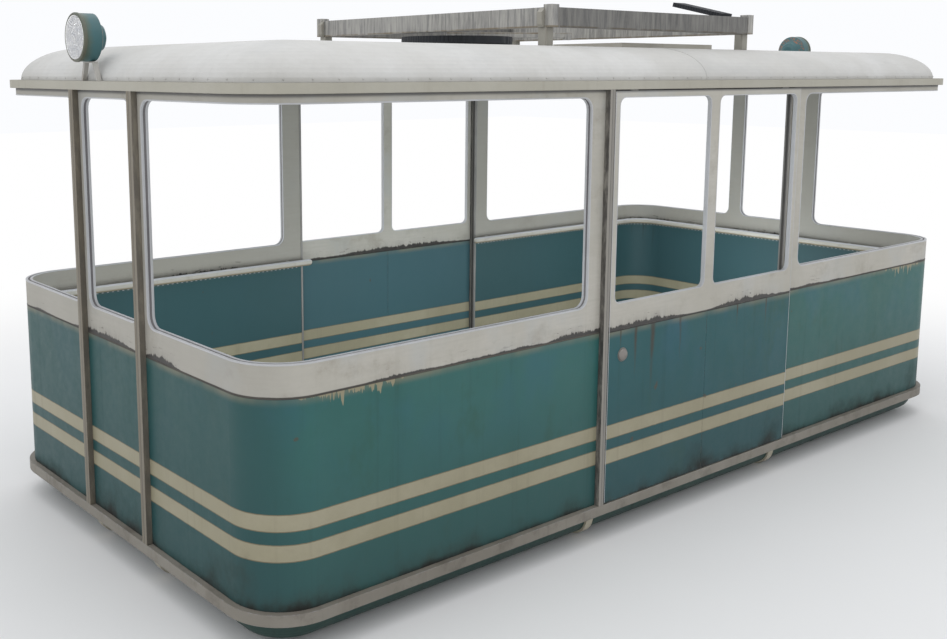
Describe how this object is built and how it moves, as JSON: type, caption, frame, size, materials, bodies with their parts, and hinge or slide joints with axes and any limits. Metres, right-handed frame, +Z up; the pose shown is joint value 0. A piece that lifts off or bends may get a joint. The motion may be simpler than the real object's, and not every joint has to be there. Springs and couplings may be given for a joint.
{
  "type": "cable car cabin",
  "caption": "Long open-windowed aerial cable car cabin with a hollow body, outside sliding doors, round lamps and a steel roof frame to hang it from.",
  "frame": {"origin": "centre of the top faces of the four corner blocks of the roof frame, where the hanger bolts on; the cabin hangs below", "axes": "+X along the body to the rear end, -Y the left side with the left door, +Z up"},
  "size_m": [5.9, 2.816, 2.8533],
  "materials": {
    "floor_covering": "worn ribbed floor covering",
    "belly_paint": "dull dark green paint",
    "rail_paint": "worn beige-grey paint",
    "strap_paint": "worn cream paint",
    "body_paint": "faded teal paint with two cream stripes, rust and grime",
    "window_frame_paint": "worn white paint, chipped and dirty",
    "roof_paint": "matt off-white paint",
    "ceiling_paint": "matt grey-blue paint",
    "galvanised_steel": "weathered galvanising with vertical streaks",
    "black_pad": "dull black",
    "lamp_paint": "gloss teal paint, rusty at the rim",
    "lamp_glass": "clear patterned glass",
    "knob_metal": "dull worn chrome"
  },
  "bodies": {
    "cabin": {"floor_deck": "floor_covering", "belly_pan": "belly_paint", "skirt_rail": "rail_paint", "cross_straps": "strap_paint", "long_straps": "strap_paint", "lower_panel_front": "body_paint", "lower_panel_rear": "body_paint", "window_frame_front": "window_frame_paint", "window_frame_rear_left": "window_frame_paint", "window_frame_rear_right": "window_frame_paint", "end_posts_front": "rail_paint", "end_posts_rear": "rail_paint", "left_door_post": "rail_paint", "right_door_post": "rail_paint", "eave_rail": "rail_paint", "left_door_track": "galvanised_steel", "right_door_track": "galvanised_steel", "ceiling": "ceiling_paint", "roof_front": "roof_paint", "roof_rear": "roof_paint", "roof_seam_strip": "roof_paint", "handrail_front": "strap_paint", "handrail_rear": "strap_paint", "handrail_brackets": "strap_paint", "left_frame_beam": "galvanised_steel", "right_frame_beam": "galvanised_steel", "front_frame_beam": "galvanised_steel", "rear_frame_beam": "galvanised_steel", "hanger_blocks": "galvanised_steel", "frame_legs": "galvanised_steel", "frame_lugs": "galvanised_steel", "slewing_disc": "black_pad", "lock_arm": "galvanised_steel", "roof_hatch": "strap_paint", "buffer_plate": "black_pad", "front_lamp_bracket": "galvanised_steel", "front_lamp_housing": "lamp_paint", "front_lamp_lens": "lamp_glass", "rear_lamp_bracket": "galvanised_steel", "rear_lamp_housing": "lamp_paint", "rear_lamp_lens": "lamp_glass"},
    "left_door": {"left_door_panel": "body_paint", "left_door_window_frame": "window_frame_paint", "left_door_hangers": "galvanised_steel", "left_door_knob": "knob_metal"},
    "right_door": {"right_door_panel": "body_paint", "right_door_window_frame": "window_frame_paint", "right_door_hangers": "galvanised_steel", "right_door_knob": "knob_metal"}
  },
  "joints": [
    {"name": "left_door_slide", "type": "slide", "parent": "cabin", "child": "left_door", "axis": [1, 0, 0], "range_m": [0, 1.6]},
    {"name": "right_door_slide", "type": "slide", "parent": "cabin", "child": "right_door", "axis": [-1, 0, 0], "range_m": [0, 1.6]}
  ]
}
